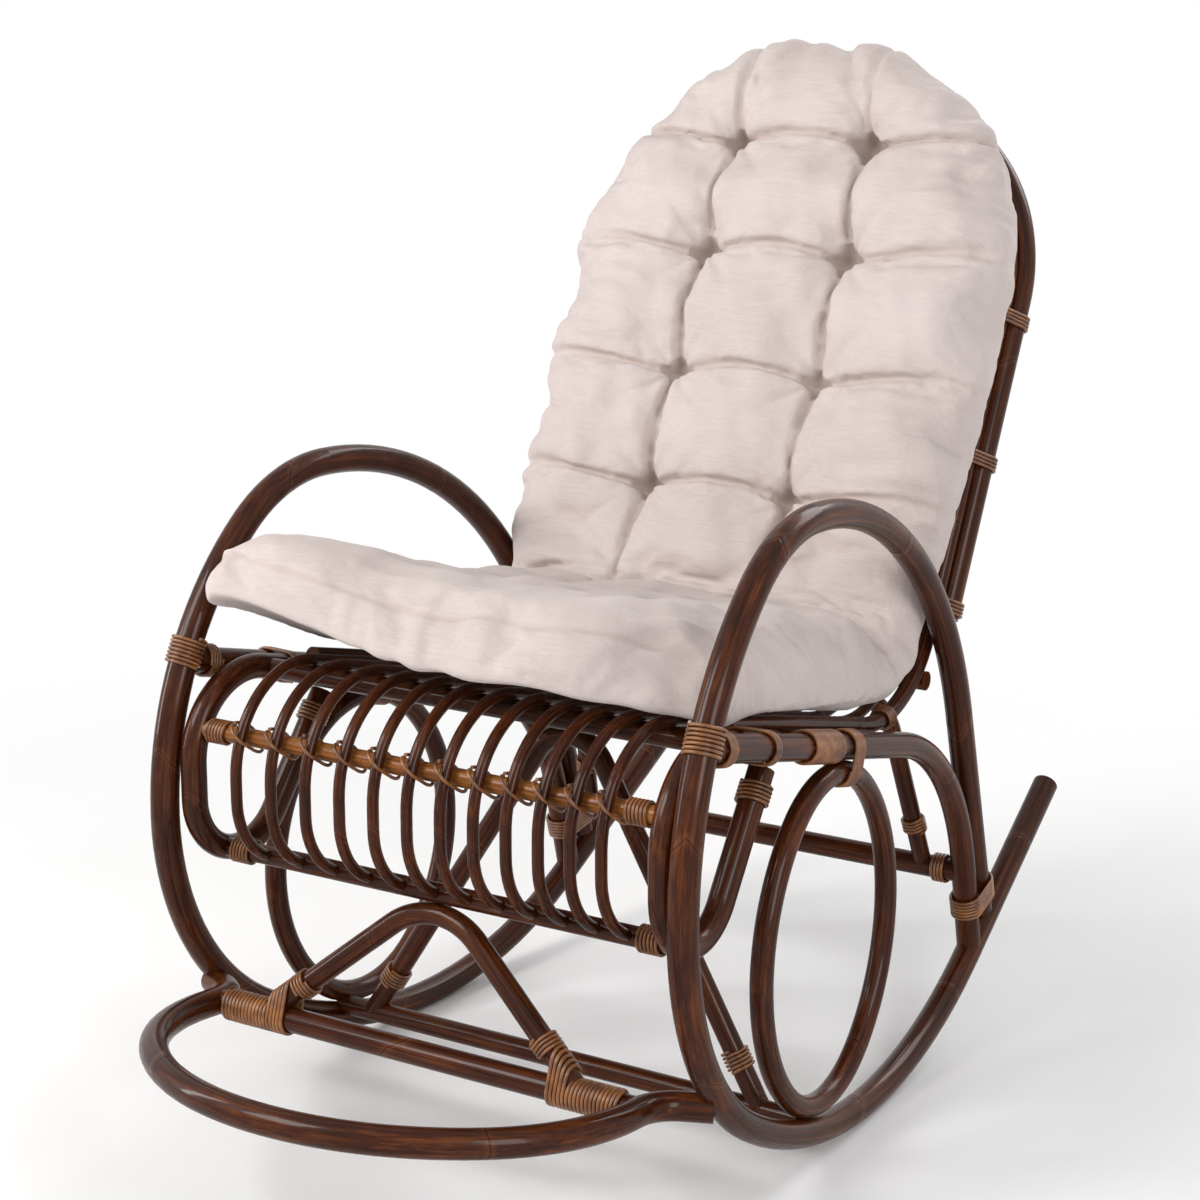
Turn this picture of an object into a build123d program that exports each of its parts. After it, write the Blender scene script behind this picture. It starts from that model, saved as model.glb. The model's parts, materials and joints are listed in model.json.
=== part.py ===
from build123d import *
from math import acos, asin, atan, ceil, cos, degrees, radians, sin, sqrt, tan
import os

# Rattan rocking chair with a loose tufted cushion.
# +X is the sitter's left, -Y the front and +Z up. The pieces are drawn from the floor midway
# between the points where the rockers touch it, and saved with the origin under the outline's middle.

os.makedirs("parts", exist_ok=True)

# From the rockers' contact points to the middle of the outline, along Y
ORIGIN_SHIFT = 70

# Pole diameters
HOOP_D = 28
RAIL_D = 26
OVAL_D = 22
BOW_D = 27
STRETCHER_D = 24
ARCH_D = 21
REAR_ARCH_D = 19
APRON_HOOP_D = 25
FRONT_RAIL_D = 17
LOWER_RAIL_D = 19
CROSS_RAIL_D = 20
SHELL_D = 17
BACK_ARCH_D = 27
RIB_D = 11
CANE_D = 3.2

# Side hoops: two upright planes that close up a little towards the rear
HALF_WIDTH = 270
SIDE_TAPER = -0.046
FLOOR_FLAT = 0.5
ROCKER_R = 515
ROCKER_REAR = 29.8
ROCKER_FRONT = 32
ROCKER_TAIL = 263
FRONT_BEND_R = 271
POST_R = 350
POST_TURN = 50
ARM_FRONT_R = 180
ARM_REAR_R = 390
ARM_REAR_TURN = 72
ARM_LEG = 251

# Seat rails: slope down to the rear, then bend down as rear legs
SEAT_SLOPE = 13.7
RAIL_BEND = (61, 366)
RAIL_RUN = 443
RAIL_BEND_R = 240
RAIL_LEG_TURN = 62.3
RAIL_LEG = 104

# Ovals between rail and rocker
OVAL_CENTRE = (-108, 216.85)
OVAL_HALF = (139, 162)
OVAL_SIDE_R = 175

# Apron hoops in front of the seat, just inside the rails
APRON_INSET = -27
APRON_TOP_Y = -176
APRON_TOP_R = 80
APRON_FRONT_Y = -387
APRON_LOW_R = 62
APRON_LOW_Z = 340
APRON_BACK_RISE = 53.1
APRON_BACK = 128
FRONT_RAIL_Z = 409
FRONT_RAIL_HALF = 262
LOWER_RAIL_AT = (-352, 284.2)
LOWER_RAIL_HALF = 260

# Ribs: over the front rail, along the seat and up the back
RIB_COUNT = 12
RIB_FIRST_X = -197
RIB_FIRST_PITCH = 41.45
RIB_PITCH_LOSS = 0.93
RIB_TOP_R = 94.3
RIB_LOW_R = 72
RIB_BEND_R = 130

# Backrest
BACK_LEAN = 27
BACK_FOOT = (214, 460)
BACK_HALF = 240
SHELL_HALF = 235
SHELL_GAP = 22.6
SHELL_FRONT_Y = -236
BACK_TOP_Z = 978
BACK_TOP_R = 232
SHELL_TOP_R = 228

# Cross rails that carry the ribs
CONTACT_GAP = 0.2
SEAT_FRONT_Y = -283
SEAT_FRONT_HALF = 255
SEAT_MIDDLE_Y = -126
SEAT_REAR_HEADING = 42
SEAT_REAR_HALF = 243
BACK_RAIL_ZS = (545, 740)
BACK_RAIL_HALF = 237

# Low cross members
BOW_HALF = 240
BOW_FRONT_Y = -619
BOW_FRONT_R = 260
BOW_CORNER_R = 190
BOW_AT = (-389, 140)
BOW_RISE = 0.1
BOW_FOOT_R = 45
BOW_FOOT_TURN = 62
BOW_FOOT_RUN = 26
BOW_NECK_Y = -392
FRONT_ARCH_HALF = 180
FRONT_ARCH_TOP = (-350, 287)
FRONT_ARCH_R = 75
MIDDLE_AT = (-153, 50)
MIDDLE_HALF = 274
MIDDLE_ARCH_HALF = 232
MIDDLE_ARCH_TOP = (-126, 421)
MIDDLE_ARCH_R = 45
REAR_AT = (239.5, 180)
REAR_HALF = 258
REAR_ARCH_FOOT = 212
REAR_ARCH_TOP_HALF = 190
REAR_ARCH_R = 55
REAR_ARCH_HEADING = -70
REAR_ARCH_CLEAR = 0.3

# Cane windings: how they lie, where each sits and its number of turns
WIND_PITCH = 3.9
WIND_CLEAR = 0.35
WIND_R = CANE_D / 2 + WIND_CLEAR
SLEEVE_CLEAR = 0.1
POST_WIND_Z = 477
POST_TURNS = 7
RAIL_END_WIND_Y = -337
RAIL_END_TURNS = 4
RAIL_BAND_Y = -250
RAIL_BAND_TURNS = 3
RAIL_WIND_Y = -138
RAIL_LONG_TURNS = 17
OVAL_BIND_TURNS = 6
OVAL_BIND_SLACK = 0.4
SHELL_WIND_HEADING = 7
SHELL_TURNS = 4
BACK_WIND_ZS = (470, 612, 752)
BACK_TURNS = 4
REAR_WIND_Z = 142
REAR_LEG_TURNS = 6
REAR_LEG_SLACK = 0.8
APRON_WIND = 104
APRON_TURNS = 5
FRONT_RAIL_WIND_X = 233.5
LOWER_RAIL_WIND_X = 230
APRON_RAIL_TURNS = 6
STRETCHER_WIND_X = 212
STRETCHER_TURNS = 6
REAR_STRETCHER_WIND_X = 233
REAR_STRETCHER_TURNS = 4
FRONT_FOOT_WIND = 0.24
FRONT_FOOT_TURNS = 4
MIDDLE_FOOT_WIND = 0.12
MIDDLE_FOOT_TURNS = 5
REAR_FOOT_WIND = 0.24
REAR_FOOT_TURNS = 4
LASHING_TURNS = 1
LASHING_SLACK = 2.3

# Cushion: one long loose pad, sewn in four rows of two tufts on the back.
# Sections are (reach along the pad, half width, thickness), and over the top (reach, thickness, dip, lift).
CUSHION_GAP = 4.6
TUFT_HALF = 85
TUFT_ROWS = (96, 225, 363, 492)
BEND_HALF = 246
BEND_T = 84
BEND_DIP = 76
BACK_PAD_HALF = 258
PAD_T = 98
PAD_DIP = 80
ROW_T = 82
ROW_DIP = 58
PAD_TOP = 620
PAD_TOP_R = 262
SEAT_SECTIONS = ((-440, 250, 44), (-424, 261, 64), (-330, 257, 74), (-180, 253, 76), (-40, 247, 82))
SEAT_DIP_SHARE = 0.95
BEND_SECTIONS = (26, 52)
TOP_SECTIONS = ((552, 92, 82, 2), (588, 74, 68, 10), (606, 56, 52, 19), (616, 38, 36, 28))
TUFT_SHARE = 0.36
EDGE_SHARE = 0.16
BULGE_SHARE = 0.38
SHOULDER_SHARE = 0.72


# Frames and profile helpers

def side_frame(inset=0):
    """The upright plane of the right-hand side, local x to the rear and local y up."""
    across = Vector(1, -SIDE_TAPER, 0).normalized()
    return Plane(Vector(HALF_WIDTH, 0, 0) + across * inset, x_dir=(SIDE_TAPER, 1, 0), z_dir=across)


def heading(angle):
    return Vector(cos(radians(angle)), sin(radians(angle)))


def trace(start, angle, *steps):
    """Tangent runs (length,) and bends (radius, turn) drawn in the current line builder."""
    point = Vector(*start)
    for step in steps:
        if len(step) == 1:
            end = point + heading(angle) * step[0]
            Line((point.X, point.Y), (end.X, end.Y))
        else:
            radius, turn = step
            to_centre = heading(angle + (90 if turn > 0 else -90)) * radius
            middle = point + to_centre - to_centre.rotate(Axis.Z, turn / 2)
            end = point + to_centre - to_centre.rotate(Axis.Z, turn)
            ThreePointArc((point.X, point.Y), (middle.X, middle.Y), (end.X, end.Y))
            angle += turn
        point = end


def finish(label, piece):
    """Saves the piece, moved so that the origin lies under the middle of the chair's outline."""
    placed = piece.part.moved(Location((0, ORIGIN_SHIFT, 0)))
    placed.label = label
    export_step(placed, f"parts/{label}.step")
    return piece.part


def make_pole(label, path, diameter, fitted_to=()):
    """A round pole along a path, cut back from the poles that its ends are fitted to."""
    with BuildPart() as pole:
        with BuildSketch(Plane(path @ 0, z_dir=path % 0)):
            Circle(diameter / 2)
        sweep(path=path)
        for other in fitted_to:
            add(other, mode=Mode.SUBTRACT)
    return finish(label, pole) if label else pole.part


def make_twin(label, part):
    """The left-hand copy of a right-hand piece."""
    with BuildPart() as twin:
        mirror(part, about=Plane.YZ)
    return finish(label, twin)


def polyline_path(points, radii):
    with BuildLine() as path:
        FilletPolyline(*points, radius=radii)
    return path.wire()


def straight_path(start, end):
    with BuildLine() as path:
        Line(start, end)
    return path.wire()


# Side hoops: tail, rocker, front bend, post, arm and rear arm leg in one pole
SIDE = side_frame()
rocker_low = HOOP_D / 2 - FLOOR_FLAT
rocker_centre = rocker_low + ROCKER_R
tail_start = Vector(
    ROCKER_R * sin(radians(ROCKER_REAR)),
    rocker_centre - ROCKER_R * cos(radians(ROCKER_REAR)),
)
tail_tip = tail_start + heading(ROCKER_REAR) * ROCKER_TAIL

with BuildLine(SIDE) as hoop_line:
    trace(
        tail_tip,
        180 + ROCKER_REAR,
        (ROCKER_TAIL,),
        (ROCKER_R, -ROCKER_REAR - ROCKER_FRONT),
        (FRONT_BEND_R, ROCKER_FRONT - 90),
        (POST_R, -POST_TURN),
        (ARM_FRONT_R, POST_TURN - 90),
        (ARM_REAR_R, -ARM_REAR_TURN),
        (ARM_LEG,),
    )

with BuildPart() as rocker_hoop:
    with BuildSketch(Plane(hoop_line.wire() @ 0, z_dir=hoop_line.wire() % 0)):
        Circle(HOOP_D / 2)
    sweep(path=hoop_line.wire())
    with Locations((HALF_WIDTH, 0, -HOOP_D / 2)):
        Box(4 * HOOP_D, ROCKER_R, HOOP_D, mode=Mode.SUBTRACT)
hoop_right = finish("rocker_hoop_right", rocker_hoop)
hoop_left = make_twin("rocker_hoop_left", hoop_right)

# Centre of the front post, at the height where it stands upright
post_centre = Vector(
    -(ROCKER_R - FRONT_BEND_R) * sin(radians(ROCKER_FRONT)) - FRONT_BEND_R + POST_R,
    rocker_centre - (ROCKER_R - FRONT_BEND_R) * cos(radians(ROCKER_FRONT)),
)


def rail_z(y):
    return RAIL_BEND[1] - tan(radians(SEAT_SLOPE)) * (y - RAIL_BEND[0])


# Seat rails, fitted to the winding on the post and to the rocker
cane_room = 2 * (CANE_D + WIND_CLEAR + SLEEVE_CLEAR)
rail_front = Vector(*RAIL_BEND) - heading(-SEAT_SLOPE) * RAIL_RUN

with BuildLine(SIDE) as rail_line:
    trace(rail_front, -SEAT_SLOPE, (RAIL_RUN,), (RAIL_BEND_R, -RAIL_LEG_TURN), (RAIL_LEG,))
with BuildLine(SIDE) as post_line:
    trace(post_centre - Vector(POST_R, 0), 90, (POST_R, -POST_TURN))

post_sleeve = make_pole("", post_line.wire(), HOOP_D + cane_room)
rail_right = make_pole("seat_rail_right", rail_line.wire(), RAIL_D, (post_sleeve, hoop_right))
rail_left = make_twin("seat_rail_left", rail_right)
rail_sleeve = make_pole("", rail_line.wire(), RAIL_D + cane_room)
rail_sleeve_left = mirror(rail_sleeve, about=Plane.YZ)

# Ovals of four tangent arcs, standing on the rockers under the rails
oval_gap = OVAL_SIDE_R - OVAL_HALF[0]
oval_end_r = (OVAL_SIDE_R**2 - oval_gap**2 - OVAL_HALF[1] ** 2) / (2 * (OVAL_SIDE_R - OVAL_HALF[1]))
oval_side_turn = 2 * degrees(atan((OVAL_HALF[1] - oval_end_r) / oval_gap))

with BuildLine(SIDE) as oval_line:
    trace(
        (OVAL_CENTRE[0] + OVAL_HALF[0], OVAL_CENTRE[1]),
        90,
        (OVAL_SIDE_R, oval_side_turn / 2),
        (oval_end_r, 180 - oval_side_turn),
        (OVAL_SIDE_R, oval_side_turn),
        (oval_end_r, 180 - oval_side_turn),
        (OVAL_SIDE_R, oval_side_turn / 2),
    )
oval_right = make_pole("oval_hoop_right", oval_line.wire(), OVAL_D)
oval_left = make_twin("oval_hoop_left", oval_right)

# Apron hoops: along the rail, down in front and back up to the seat
APRON = side_frame(APRON_INSET)
apron_top_centre_y = APRON_FRONT_Y + APRON_TOP_R
apron_top_end_y = apron_top_centre_y + APRON_TOP_R * sin(radians(SEAT_SLOPE))
apron_top_centre_z = rail_z(apron_top_end_y) - APRON_TOP_R * cos(radians(SEAT_SLOPE))
apron_top_run = (APRON_TOP_Y - apron_top_end_y) / cos(radians(SEAT_SLOPE))

with BuildLine(APRON) as apron_line:
    trace(
        (APRON_TOP_Y, rail_z(APRON_TOP_Y)),
        180 - SEAT_SLOPE,
        (apron_top_run,),
        (APRON_TOP_R, 90 + SEAT_SLOPE),
        (apron_top_centre_z - APRON_LOW_Z,),
        (APRON_LOW_R, 90 + APRON_BACK_RISE),
        (APRON_BACK,),
    )
apron_right = make_pole("apron_hoop_right", apron_line.wire(), APRON_HOOP_D)
apron_left = make_twin("apron_hoop_left", apron_right)

# Apron rails between the two hoops
front_rail_drop = FRONT_RAIL_Z - apron_top_centre_z
front_rail_y = apron_top_centre_y - sqrt(APRON_TOP_R**2 - front_rail_drop**2)
apron_pair = (apron_right, apron_left)


def cross_rail(label, y, z, half, diameter, fitted_to):
    return make_pole(label, straight_path((-half, y, z), (half, y, z)), diameter, fitted_to)


front_rail_at = (front_rail_y, FRONT_RAIL_Z)
cross_rail("apron_front_rail", *front_rail_at, FRONT_RAIL_HALF, FRONT_RAIL_D, apron_pair)
lower_rail = cross_rail("apron_lower_rail", *LOWER_RAIL_AT, LOWER_RAIL_HALF, LOWER_RAIL_D, apron_pair)

# Outer back arch and the inner shell pole that runs along the seat and over the back
lean = radians(BACK_LEAN)
shell_shift = SHELL_GAP / cos(lean)


def back_y(z, ahead=0):
    """Depth of the leaning back plane at a height, or of a plane ahead of it."""
    return BACK_FOOT[0] + tan(lean) * (z - BACK_FOOT[1]) - ahead


def rib_z(y):
    """Height of the seat's rib line."""
    lift = RIB_TOP_R - APRON_TOP_R
    return rail_z(y) + lift / cos(radians(SEAT_SLOPE))


rib_corner_z = (rib_z(back_y(0, shell_shift))) / (1 + tan(radians(SEAT_SLOPE)) * tan(lean))
rib_corner = (back_y(rib_corner_z, shell_shift), rib_corner_z)

back_arch_path = polyline_path(
    [
        (-BACK_HALF, *BACK_FOOT),
        (-BACK_HALF, back_y(BACK_TOP_Z), BACK_TOP_Z),
        (BACK_HALF, back_y(BACK_TOP_Z), BACK_TOP_Z),
        (BACK_HALF, *BACK_FOOT),
    ],
    BACK_TOP_R,
)
back_arch = make_pole("back_arch", back_arch_path, BACK_ARCH_D)

shell_top = (back_y(BACK_TOP_Z, shell_shift), BACK_TOP_Z)
shell_path = polyline_path(
    [
        (-SHELL_HALF, SHELL_FRONT_Y, rib_z(SHELL_FRONT_Y)),
        (-SHELL_HALF, *rib_corner),
        (-SHELL_HALF, *shell_top),
        (SHELL_HALF, *shell_top),
        (SHELL_HALF, *rib_corner),
        (SHELL_HALF, SHELL_FRONT_Y, rib_z(SHELL_FRONT_Y)),
    ],
    [RIB_BEND_R, SHELL_TOP_R, SHELL_TOP_R, RIB_BEND_R],
)
shell_pole = make_pole("seat_shell_pole", shell_path, SHELL_D)

# Ribs: from the lower apron rail round the front rail, along the seat and up to the shell pole
rib_top_centre = Vector(apron_top_centre_y, apron_top_centre_z)
rib_front_y = rib_top_centre.X - RIB_TOP_R
rib_low_centre_y = rib_front_y + RIB_LOW_R
rib_low_turn = degrees(acos((rib_low_centre_y - LOWER_RAIL_AT[0]) / RIB_LOW_R))
rib_low_z = LOWER_RAIL_AT[1] + RIB_LOW_R * sin(radians(rib_low_turn))
rib_top_end = rib_top_centre + heading(90 - SEAT_SLOPE) * RIB_TOP_R
rib_bend_turn = 90 - BACK_LEAN + SEAT_SLOPE
rib_bend_run = RIB_BEND_R * tan(radians(rib_bend_turn / 2))
rib_bend_start = Vector(*rib_corner) - heading(-SEAT_SLOPE) * rib_bend_run
rib_bend_centre = rib_bend_start + heading(90 - SEAT_SLOPE) * RIB_BEND_R
rib_seat_run = (rib_corner[0] - rib_top_end.X) / cos(radians(SEAT_SLOPE)) - rib_bend_run
top_run = (BACK_TOP_Z - rib_corner_z) / cos(lean) - rib_bend_run


def rib_place(index):
    """Ribs stand a little closer towards the right-hand side."""
    return RIB_FIRST_X + RIB_FIRST_PITCH * index - RIB_PITCH_LOSS * index * (index - 1) / 2


def rib_back_run(x):
    """Length of a rib's back run, up to the shell pole's arch."""
    beside = max(0, abs(x) - (SHELL_HALF - SHELL_TOP_R))
    return top_run - SHELL_TOP_R + sqrt(SHELL_TOP_R**2 - beside**2)


rib_xs = [rib_place(index) for index in range(RIB_COUNT)]
for index, rib_x in enumerate(rib_xs):
    with BuildLine(Plane((rib_x, 0, 0), x_dir=(0, 1, 0), z_dir=(1, 0, 0))) as rib_line:
        trace(
            LOWER_RAIL_AT,
            90 + rib_low_turn,
            (RIB_LOW_R, -rib_low_turn),
            (rib_top_centre.Y - rib_low_z,),
            (RIB_TOP_R, -90 - SEAT_SLOPE),
            (rib_seat_run,),
            (RIB_BEND_R, rib_bend_turn),
            (rib_back_run(rib_x),),
        )
    make_pole(f"rib_{index + 1:02d}", rib_line.wire(), RIB_D, (lower_rail, shell_pole))

# Seat and back cross rails, which the ribs lie on
rib_bed = (RIB_D + CROSS_RAIL_D) / 2


def seat_rail_at(y):
    """Place of a cross rail that carries the ribs from below at a depth in the seat."""
    return y, rib_z(y) - (rib_bed + CONTACT_GAP) / cos(radians(SEAT_SLOPE))


shell_and_rails = (shell_pole, rail_sleeve, rail_sleeve_left)
cross_rail("seat_front_rail", *seat_rail_at(SEAT_FRONT_Y), SEAT_FRONT_HALF, CROSS_RAIL_D, apron_pair)
middle_rail_at = seat_rail_at(SEAT_MIDDLE_Y)
cross_rail("seat_middle_rail", *middle_rail_at, HALF_WIDTH, CROSS_RAIL_D, shell_and_rails)
seat_rear_at = rib_bend_centre + heading(SEAT_REAR_HEADING - 90) * (RIB_BEND_R + rib_bed + CONTACT_GAP)
cross_rail("seat_rear_rail", seat_rear_at.X, seat_rear_at.Y, SEAT_REAR_HALF, CROSS_RAIL_D, (shell_pole,))
for label, height in zip(("back_lower_rail", "back_upper_rail"), BACK_RAIL_ZS):
    behind = (rib_bed + CONTACT_GAP) / cos(lean)
    depth = back_y(height, shell_shift) + behind
    cross_rail(label, depth, height, BACK_RAIL_HALF, CROSS_RAIL_D, (back_arch, shell_pole))

# Front bow: a low loop ahead of the rockers, its feet turned out to the front bends
BOW = Plane((0, *BOW_AT), x_dir=(1, 0, 0), z_dir=(0, BOW_RISE, 1))
bow_reach = BOW_FRONT_Y - BOW_AT[0]
bow_inner = BOW_FRONT_R - BOW_CORNER_R
bow_corner_x = BOW_HALF - BOW_CORNER_R
bow_front_turn = degrees(asin(bow_corner_x / bow_inner))
bow_corner_y = bow_reach + BOW_FRONT_R - sqrt(bow_inner**2 - bow_corner_x**2)
bow_neck = BOW_NECK_Y - BOW_AT[0]

with BuildLine(BOW) as bow_line:
    start = Vector(BOW_HALF + BOW_FOOT_R, bow_neck)
    foot = start + heading(180 - BOW_FOOT_TURN) * BOW_FOOT_R
    foot = foot + heading(90 - BOW_FOOT_TURN) * BOW_FOOT_RUN
    trace(
        foot,
        270 - BOW_FOOT_TURN,
        (BOW_FOOT_RUN,),
        (BOW_FOOT_R, BOW_FOOT_TURN),
        (bow_neck - bow_corner_y,),
        (BOW_CORNER_R, bow_front_turn - 90),
        (BOW_FRONT_R, -2 * bow_front_turn),
        (BOW_CORNER_R, bow_front_turn - 90),
        (bow_neck - bow_corner_y,),
        (BOW_FOOT_R, BOW_FOOT_TURN),
        (BOW_FOOT_RUN,),
    )
bow = make_pole("front_bow", bow_line.wire(), BOW_D, (hoop_right, hoop_left))

# Stretchers
front_stretcher = cross_rail("front_stretcher", *BOW_AT, BOW_HALF, STRETCHER_D, (bow,))
hoops = (hoop_right, hoop_left)
middle_seats = (*hoops, oval_right, oval_left)
middle_stretcher = cross_rail("middle_stretcher", *MIDDLE_AT, MIDDLE_HALF, ARCH_D, middle_seats)
rails = (rail_right, rail_left)
rear_stretcher = cross_rail("rear_stretcher", *REAR_AT, REAR_HALF, STRETCHER_D, rails)

# Bent braces that stand on the stretchers and hold up the apron and the seat
front_arch_path = polyline_path(
    [(-FRONT_ARCH_HALF, *BOW_AT), (0, *FRONT_ARCH_TOP), (FRONT_ARCH_HALF, *BOW_AT)], FRONT_ARCH_R
)
make_pole("front_arch", front_arch_path, ARCH_D, (front_stretcher, lower_rail))
middle_arch_path = polyline_path(
    [(-MIDDLE_ARCH_HALF, *MIDDLE_AT), (0, *MIDDLE_ARCH_TOP), (MIDDLE_ARCH_HALF, *MIDDLE_AT)],
    MIDDLE_ARCH_R,
)
make_pole("middle_arch", middle_arch_path, ARCH_D, (middle_stretcher,))
rear_arch_drop = (CROSS_RAIL_D + REAR_ARCH_D) / 2 + REAR_ARCH_CLEAR
rear_arch_top = seat_rear_at + heading(REAR_ARCH_HEADING) * rear_arch_drop
rear_arch_path = polyline_path(
    [
        (-REAR_ARCH_FOOT, *REAR_AT),
        (-REAR_ARCH_TOP_HALF, rear_arch_top.X, rear_arch_top.Y),
        (REAR_ARCH_TOP_HALF, rear_arch_top.X, rear_arch_top.Y),
        (REAR_ARCH_FOOT, *REAR_AT),
    ],
    REAR_ARCH_R,
)
make_pole("rear_arch", rear_arch_path, REAR_ARCH_D, (rear_stretcher,))

# Cane windings: each is one unbroken strand laid round a pole or round a pair of poles


def belt_stations(first_r, second_r, spread, turns):
    """Points (x, y), direction, travel and kind of step of a belt wound round two circles."""
    touch = degrees(acos((first_r - second_r) / spread)) if spread else 90
    arcs = ((spread, second_r, -touch, touch), (0, first_r, touch, 360 - touch))
    straight = sqrt(spread**2 - (first_r - second_r) ** 2) if spread else 0
    travel = 0
    stations = []
    for _ in range(turns):
        for centre, radius, begin, end in arcs:
            steps = ceil((end - begin) / 90 - 0.01)
            for step in range(steps):
                out = heading(begin + (end - begin) * step / steps)
                stations.append((Vector(centre, 0) + out * radius, out.rotate(Axis.Z, 90), travel, "arc"))
                travel += radians(end - begin) / steps * radius
            if spread:
                out = heading(end)
                stations.append((Vector(centre, 0) + out * radius, out.rotate(Axis.Z, 90), travel, "run"))
                travel += straight
    out = heading(-touch)
    stations.append((Vector(spread, 0) + out * second_r, out.rotate(Axis.Z, 90), travel, "end"))
    return stations


def biarc(p0, t0, p1, t1):
    """Two tangent arcs that join a point and direction to the next."""
    chord = p1 - p0
    along = chord.dot(t0 + t1)
    bend = 2 * (1 - t0.dot(t1))
    reach = (sqrt(along**2 + bend * chord.dot(chord)) - along) / bend
    q0 = p0 + t0 * reach
    q1 = p1 - t1 * reach
    joint = (q0 + q1) * 0.5
    TangentArc(p0, joint, tangent=t0)
    TangentArc(joint, p1, tangent=q1 - q0)


def least_gap(path, turns):
    """Least clear distance between neighbouring turns, measured on points of the path."""
    per_turn = 24
    points = [path @ (i / (per_turn * turns)) for i in range(per_turn * turns + 1)]
    gaps = []
    for i, point in enumerate(points):
        for other in points[i + per_turn // 2 : i + 3 * per_turn // 2]:
            gaps.append((other - point).length - CANE_D)
    return min(gaps)


def wind(label, centre, axis, turns, pole_r, towards=(0, 0, 1), second_r=0, spread=0, slack=0):
    """A winding centred on a pole, or round that pole and a second one at a spread from it."""
    along = Vector(axis).normalized()
    across = Vector(towards)
    across = (across - along * across.dot(along)).normalized()
    beside = along.cross(across)
    first = pole_r + WIND_R + slack
    second = second_r + WIND_R + slack if spread else first
    stations = belt_stations(first, second, spread, turns)
    lead = WIND_PITCH * turns / stations[-1][2]
    start = Vector(centre) - along * (WIND_PITCH * turns / 2)
    places = []
    for spot, way, travel, kind in stations:
        point = start + across * spot.X + beside * spot.Y + along * (lead * travel)
        places.append((point, (across * way.X + beside * way.Y + along * lead).normalized(), kind))
    with BuildLine() as strand:
        Line(places[0][0] - places[0][1] * CANE_D, places[0][0])
        for (p0, t0, kind), (p1, t1, _) in zip(places, places[1:]):
            if kind == "run":
                Line(p0, p1)
            else:
                biarc(p0, t0, p1, t1)
        Line(places[-1][0], places[-1][0] + places[-1][1] * CANE_D)
    path = strand.wire()
    print(label, "turns", turns, "least gap", round(least_gap(path, turns), 2))
    return make_pole("", path, CANE_D)


def make_windings(label, *solids):
    """Windings of the right-hand side with their left-hand twins, as one node of separate solids."""
    with BuildPart() as group:
        for solid in solids:
            add(solid)
            mirror(solid, about=Plane.YZ)
    finish(label, group)


def on_side(y, z, inset=0):
    return SIDE.from_local_coords((y, z, inset))


def side_way(angle):
    way = heading(angle)
    return SIDE.from_local_coords((way.X, way.Y, 0)) - SIDE.origin


inward = on_side(0, 0, -1) - on_side(0, 0)
rail_way = side_way(-SEAT_SLOPE)


def on_rail(y):
    return on_side(y, rail_z(y))


# Joint of post and rail
post_lean = degrees(asin((POST_WIND_Z - post_centre.Y) / POST_R))
post_at = post_centre + heading(180 - post_lean) * POST_R
post_wind = wind("post", on_side(post_at.X, post_at.Y), side_way(90 - post_lean), POST_TURNS, HOOP_D / 2)
make_windings("post_wraps", post_wind)
rail_end = wind("rail end", on_rail(RAIL_END_WIND_Y), rail_way, RAIL_END_TURNS, RAIL_D / 2)
make_windings("rail_end_wraps", rail_end)

# Rail bound to the apron hoop, wound bare, and bound to the oval
band = wind(
    "rail band",
    on_rail(RAIL_BAND_Y),
    rail_way,
    RAIL_BAND_TURNS,
    RAIL_D / 2,
    inward,
    APRON_HOOP_D / 2,
    -APRON_INSET,
)
make_windings("rail_bands", band)
rail_long = wind("rail long", on_rail(RAIL_WIND_Y), rail_way, RAIL_LONG_TURNS, RAIL_D / 2)
make_windings("rail_long_wraps", rail_long)
oval_reach = OVAL_HALF[1] - oval_end_r
oval_top_centre = Vector(OVAL_CENTRE[0], OVAL_CENTRE[1] + oval_reach)
rail_out = heading(90 - SEAT_SLOPE)
rail_over = (Vector(*RAIL_BEND) - oval_top_centre).dot(rail_out)
oval_bind_at = oval_top_centre + rail_out * rail_over
oval_bind = wind(
    "rail and oval",
    on_side(oval_bind_at.X, oval_bind_at.Y),
    rail_way,
    OVAL_BIND_TURNS,
    RAIL_D / 2,
    side_way(-90 - SEAT_SLOPE),
    OVAL_D / 2,
    rail_over - oval_end_r,
    slack=OVAL_BIND_SLACK,
)
make_windings("rail_oval_wraps", oval_bind)

# Shell pole and back arch
shell_at = rib_bend_centre + heading(SHELL_WIND_HEADING - 90) * RIB_BEND_R
shell_way = heading(SHELL_WIND_HEADING)
shell_wind = wind(
    "shell", (SHELL_HALF, shell_at.X, shell_at.Y), (0, shell_way.X, shell_way.Y), SHELL_TURNS, SHELL_D / 2
)
make_windings("shell_wraps", shell_wind)
back_way = (0, sin(lean), cos(lean))
to_shell = Vector(SHELL_HALF - BACK_HALF, -SHELL_GAP * cos(lean), SHELL_GAP * sin(lean))
back_winds = [
    wind(
        "back",
        (BACK_HALF, back_y(height), height),
        back_way,
        BACK_TURNS,
        BACK_ARCH_D / 2,
        to_shell,
        SHELL_D / 2,
        to_shell.length,
    )
    for height in BACK_WIND_ZS
]
make_windings("back_wraps", *back_winds)

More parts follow.
